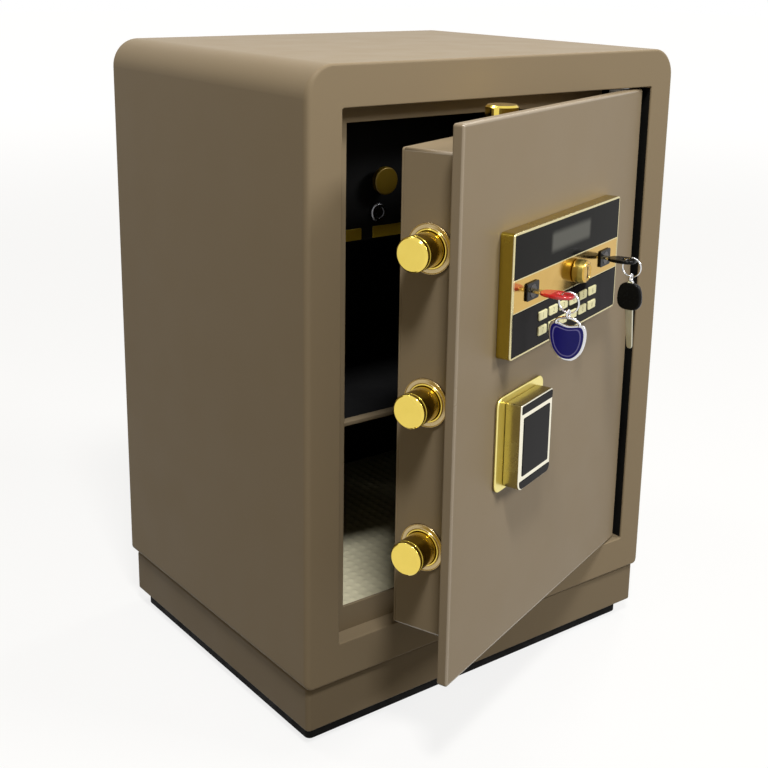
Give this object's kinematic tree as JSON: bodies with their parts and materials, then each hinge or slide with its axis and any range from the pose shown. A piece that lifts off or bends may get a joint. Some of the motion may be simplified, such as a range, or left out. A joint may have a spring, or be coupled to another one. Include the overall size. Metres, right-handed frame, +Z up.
{
  "type": "in-room safe",
  "caption": "Upright steel in-room safe with a hinged door, thrown locking bolts, a keypad lock with keys, a turning handle, a shelf and a small inner drawer.",
  "frame": {"origin": "middle of the footprint, on the floor under the base pad", "axes": "+Z up, +Y towards the back, +X to the right seen from the front"},
  "size_m": [0.437, 0.4883, 0.6166],
  "materials": {
    "taupe_powder_coat": "satin powder coat",
    "black_rubber": "matte",
    "black_liner": "matte paint",
    "cream_mat": "embossed, matte",
    "zinc_steel": "zinc plated",
    "polished_brass": "polished",
    "mirror_gold": "mirror plated",
    "black_gloss": "gloss",
    "pale_gold_key": "satin",
    "red_plastic": "gloss",
    "blue_enamel": "gloss"
  },
  "bodies": {
    "cabinet": {"base_pad": "black_rubber", "plinth": "taupe_powder_coat", "outer_shell": "taupe_powder_coat", "back_panel": "taupe_powder_coat", "front_frame": "taupe_powder_coat", "inner_liner": "black_liner", "floor_mat": "cream_mat", "shelf": "taupe_powder_coat", "locker_case": "black_liner", "hinge_pin_top": "zinc_steel", "hinge_pin_bottom": "zinc_steel"},
    "door": {"door_panel": "taupe_powder_coat", "bolt_box": "taupe_powder_coat", "door_cover": "taupe_powder_coat", "hinge_block_top": "zinc_steel", "hinge_block_bottom": "zinc_steel", "bolt_bush_1": "polished_brass", "bolt_bush_2": "polished_brass", "bolt_bush_3": "polished_brass", "bolt_bush_top": "polished_brass", "bolt_bush_bottom": "polished_brass", "handle_plate": "mirror_gold", "lock_housing": "mirror_gold", "display_panel": "black_gloss", "keypad_plate": "black_gloss", "keyhole_left": "black_gloss", "keyhole_right": "black_gloss", "battery_lid": "black_gloss"},
    "drawer": {"drawer": "black_liner", "drawer_pull": "mirror_gold", "drawer_lock": "zinc_steel", "drawer_trim": "mirror_gold"},
    "handle": {"handle_block": "mirror_gold", "handle_glass": "black_gloss", "cam_disc": "zinc_steel"},
    "side_bolts": {"bolt_bar": "zinc_steel", "side_bolt_1": "polished_brass", "side_bolt_2": "polished_brass", "side_bolt_3": "polished_brass"},
    "top_bolt": {"top_bolt": "polished_brass"},
    "bottom_bolt": {"bottom_bolt": "polished_brass"},
    "centre_knob": {"centre_knob": "mirror_gold"},
    "key_left": {"key_left": "red_plastic"},
    "ring_left": {"ring_left": "zinc_steel"},
    "tag_left": {"tag_left": "blue_enamel"},
    "key_right": {"key_right": "black_gloss"},
    "ring_right": {"ring_right": "zinc_steel"},
    "spare_key": {"spare_key": "black_gloss"},
    "button_01": {"button_01": "pale_gold_key"},
    "button_02": {"button_02": "pale_gold_key"},
    "button_03": {"button_03": "pale_gold_key"},
    "button_04": {"button_04": "pale_gold_key"},
    "button_05": {"button_05": "pale_gold_key"},
    "button_06": {"button_06": "pale_gold_key"},
    "button_07": {"button_07": "pale_gold_key"},
    "button_08": {"button_08": "pale_gold_key"},
    "button_09": {"button_09": "pale_gold_key"},
    "button_10": {"button_10": "pale_gold_key"},
    "button_11": {"button_11": "pale_gold_key"},
    "button_12": {"button_12": "pale_gold_key"}
  },
  "joints": [
    {"name": "drawer_slide", "type": "slide", "parent": "cabinet", "child": "drawer", "axis": [0, -1, 0], "range_m": [0, 0.065]},
    {"name": "door_hinge", "type": "hinge", "parent": "cabinet", "child": "door", "pos_m": [0.163, -0.1575, 0.34], "axis": [0, 0, 1], "range_deg": [-19.7, 85.3]},
    {"name": "handle_turn", "type": "hinge", "parent": "door", "child": "handle", "pos_m": [-0.04654, -0.24952, 0.2938], "axis": [-0.3371, 0.9415, 0], "range_deg": [0, 60]},
    {"name": "side_bolts_slide", "type": "slide", "parent": "door", "child": "side_bolts", "axis": [0.9415, 0.3371, 0], "range_m": [0, 0.027]},
    {"name": "top_bolt_slide", "type": "slide", "parent": "door", "child": "top_bolt", "axis": [0, 0, -1], "range_m": [0, 0.027]},
    {"name": "bottom_bolt_slide", "type": "slide", "parent": "door", "child": "bottom_bolt", "axis": [0, 0, 1], "range_m": [0, 0.027]},
    {"name": "knob_turn", "type": "hinge", "parent": "door", "child": "centre_knob", "pos_m": [0.03017, -0.23639, 0.43], "axis": [-0.3371, 0.9415, 0], "range_deg": [0, 90]},
    {"name": "key_left_turn", "type": "hinge", "parent": "door", "child": "key_left", "pos_m": [-0.05221, -0.26812, 0.43], "axis": [-0.3371, 0.9415, 0], "range_deg": [0, 90]},
    {"name": "ring_left_swing", "type": "hinge", "parent": "key_left", "child": "ring_left", "pos_m": [-0.04125, -0.29872, 0.4315], "axis": [-0.3371, 0.9415, 0], "range_deg": [-20, 20]},
    {"name": "tag_swing", "type": "hinge", "parent": "ring_left", "child": "tag_left", "pos_m": [-0.04125, -0.29872, 0.41613], "axis": [-0.3371, 0.9415, 0], "range_deg": [-30, 30]},
    {"name": "key_right_turn", "type": "hinge", "parent": "door", "child": "key_right", "pos_m": [0.08948, -0.21739, 0.43], "axis": [0.3371, -0.9415, 0], "range_deg": [0, 90]},
    {"name": "ring_right_swing", "type": "hinge", "parent": "key_right", "child": "ring_right", "pos_m": [0.09825, -0.24186, 0.4315], "axis": [-0.3371, 0.9415, 0], "range_deg": [-20, 20]},
    {"name": "spare_key_swing", "type": "hinge", "parent": "ring_right", "child": "spare_key", "pos_m": [0.09825, -0.24186, 0.41553], "axis": [-0.3371, 0.9415, 0], "range_deg": [-30, 30]},
    {"name": "button_01_press", "type": "slide", "parent": "door", "child": "button_01", "axis": [-0.3371, 0.9415, 0], "range_m": [0, 0.0008], "stiffness_N_per_m": 600},
    {"name": "button_02_press", "type": "slide", "parent": "door", "child": "button_02", "axis": [-0.3371, 0.9415, 0], "range_m": [0, 0.0008], "stiffness_N_per_m": 600},
    {"name": "button_03_press", "type": "slide", "parent": "door", "child": "button_03", "axis": [-0.3371, 0.9415, 0], "range_m": [0, 0.0008], "stiffness_N_per_m": 600},
    {"name": "button_04_press", "type": "slide", "parent": "door", "child": "button_04", "axis": [-0.3371, 0.9415, 0], "range_m": [0, 0.0008], "stiffness_N_per_m": 600},
    {"name": "button_05_press", "type": "slide", "parent": "door", "child": "button_05", "axis": [-0.3371, 0.9415, 0], "range_m": [0, 0.0008], "stiffness_N_per_m": 600},
    {"name": "button_06_press", "type": "slide", "parent": "door", "child": "button_06", "axis": [-0.3371, 0.9415, 0], "range_m": [0, 0.0008], "stiffness_N_per_m": 600},
    {"name": "button_07_press", "type": "slide", "parent": "door", "child": "button_07", "axis": [-0.3371, 0.9415, 0], "range_m": [0, 0.0008], "stiffness_N_per_m": 600},
    {"name": "button_08_press", "type": "slide", "parent": "door", "child": "button_08", "axis": [-0.3371, 0.9415, 0], "range_m": [0, 0.0008], "stiffness_N_per_m": 600},
    {"name": "button_09_press", "type": "slide", "parent": "door", "child": "button_09", "axis": [-0.3371, 0.9415, 0], "range_m": [0, 0.0008], "stiffness_N_per_m": 600},
    {"name": "button_10_press", "type": "slide", "parent": "door", "child": "button_10", "axis": [-0.3371, 0.9415, 0], "range_m": [0, 0.0008], "stiffness_N_per_m": 600},
    {"name": "button_11_press", "type": "slide", "parent": "door", "child": "button_11", "axis": [-0.3371, 0.9415, 0], "range_m": [0, 0.0008], "stiffness_N_per_m": 600},
    {"name": "button_12_press", "type": "slide", "parent": "door", "child": "button_12", "axis": [-0.3371, 0.9415, 0], "range_m": [0, 0.0008], "stiffness_N_per_m": 600}
  ],
  "couplings": [
    {"joint": "side_bolts_slide", "follows": "handle_turn", "m_per_rad": 0.025783},
    {"joint": "top_bolt_slide", "follows": "handle_turn", "m_per_rad": 0.025783},
    {"joint": "bottom_bolt_slide", "follows": "handle_turn", "m_per_rad": 0.025783}
  ]
}
